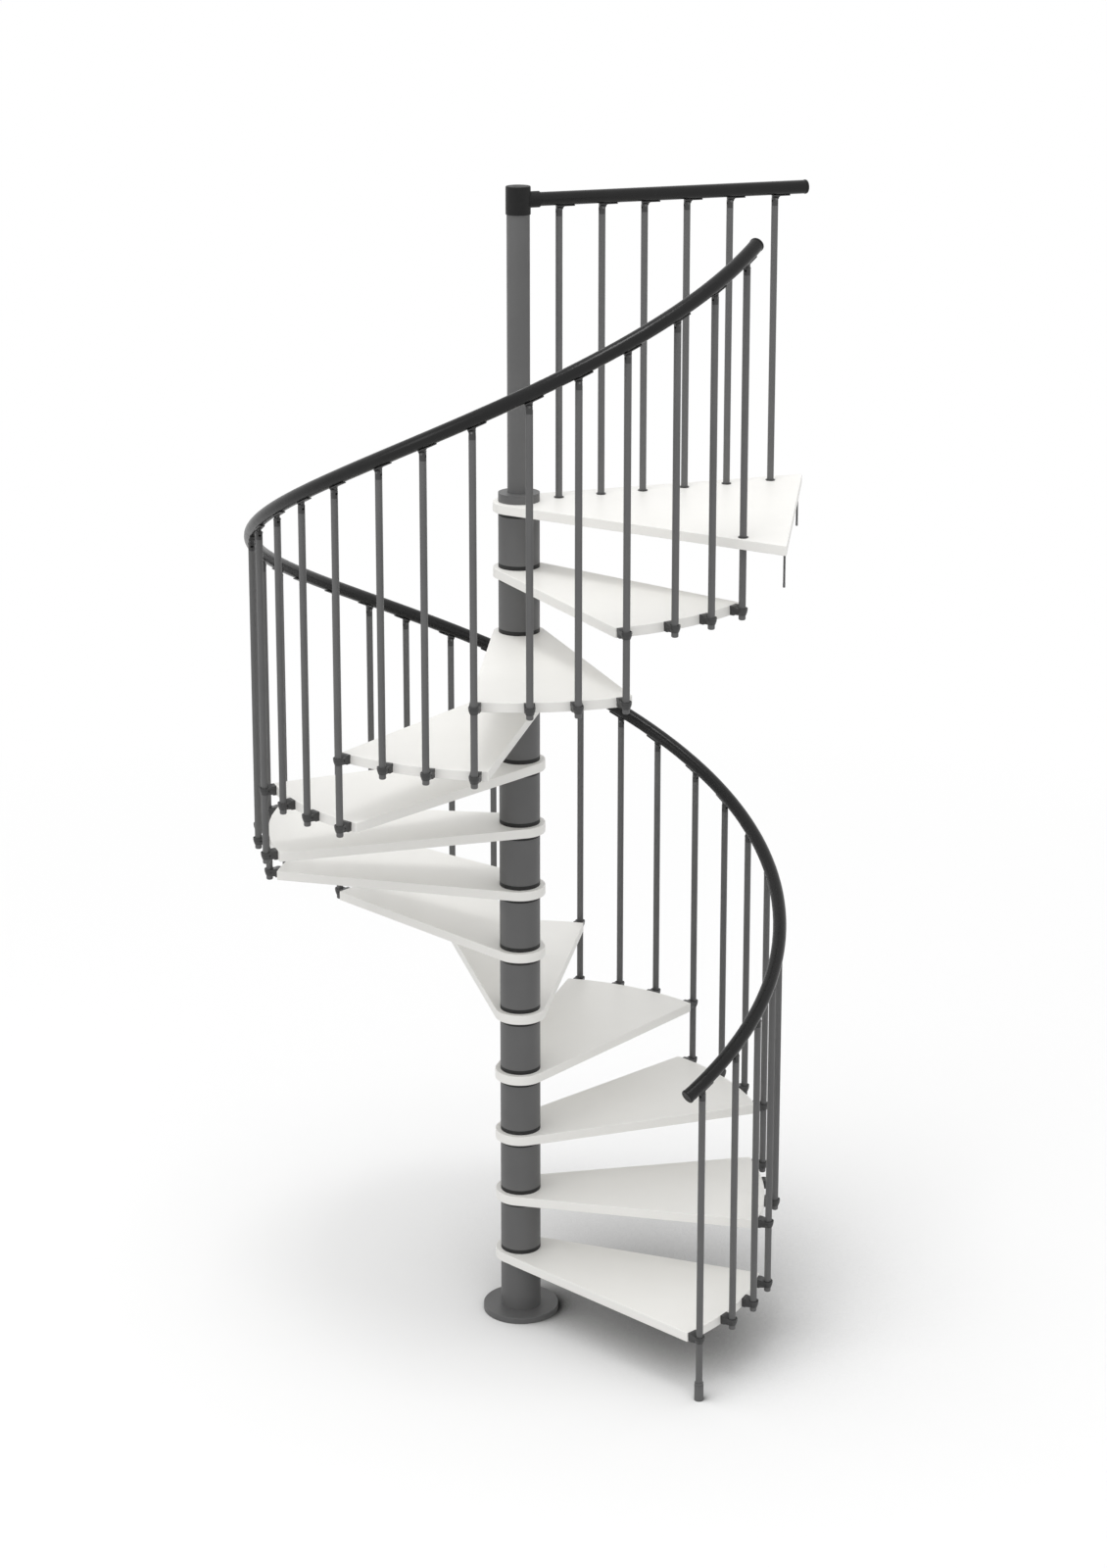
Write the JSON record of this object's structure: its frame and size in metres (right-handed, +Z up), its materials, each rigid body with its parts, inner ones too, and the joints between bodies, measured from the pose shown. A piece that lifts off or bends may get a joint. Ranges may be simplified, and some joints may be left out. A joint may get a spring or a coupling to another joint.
{
  "type": "spiral staircase",
  "caption": "Modular spiral staircase: wedge treads and a triangular landing round a steel column, with rod balusters, clamps and a helical handrail.",
  "frame": {"origin": "centre of the base flange's lower face, on the column's axis", "axes": "+Z up along the column; the stair climbs counter-clockwise seen from above; the landing reaches out toward +X"},
  "size_m": [1.7228, 1.6699, 3.6335],
  "materials": {
    "board": "satin white lacquer on board",
    "steel_paint": "satin grey powder coat",
    "ring_plastic": "matt",
    "moulded_plastic": "matt",
    "handrail": "satin",
    "cap_plastic": "satin",
    "rod_steel": "dark zinc"
  },
  "bodies": {
    "root": {"balusters_01": "steel_paint", "balusters_02": "steel_paint", "balusters_03": "steel_paint", "balusters_04": "steel_paint", "balusters_05": "steel_paint", "balusters_06": "steel_paint", "balusters_07": "steel_paint", "balusters_08": "steel_paint", "balusters_09": "steel_paint", "balusters_10": "steel_paint", "balusters_11": "steel_paint", "balusters_12": "steel_paint", "base_flange": "steel_paint", "centre_pole": "steel_paint", "column_rings": "ring_plastic", "column_tubes": "steel_paint", "first_baluster_foot": "steel_paint", "handrail_end_caps": "handrail", "landing": "board", "landing_baluster_collars": "moulded_plastic", "landing_balusters": "steel_paint", "landing_fixing_rods": "rod_steel", "landing_flange": "steel_paint", "landing_handrail": "handrail", "landing_rail_brackets": "moulded_plastic", "pole_cap": "cap_plastic", "rail_brackets_lower": "moulded_plastic", "rail_brackets_middle": "moulded_plastic", "rail_brackets_upper": "moulded_plastic", "stair_handrail": "handrail", "top_baluster": "steel_paint", "tread_01": "board", "tread_02": "board", "tread_03": "board", "tread_04": "board", "tread_05": "board", "tread_06": "board", "tread_07": "board", "tread_08": "board", "tread_09": "board", "tread_10": "board", "tread_11": "board", "tread_12": "board", "tread_clamps_lower": "moulded_plastic", "tread_clamps_middle": "moulded_plastic", "tread_clamps_upper": "moulded_plastic"}
  },
  "joints": []
}
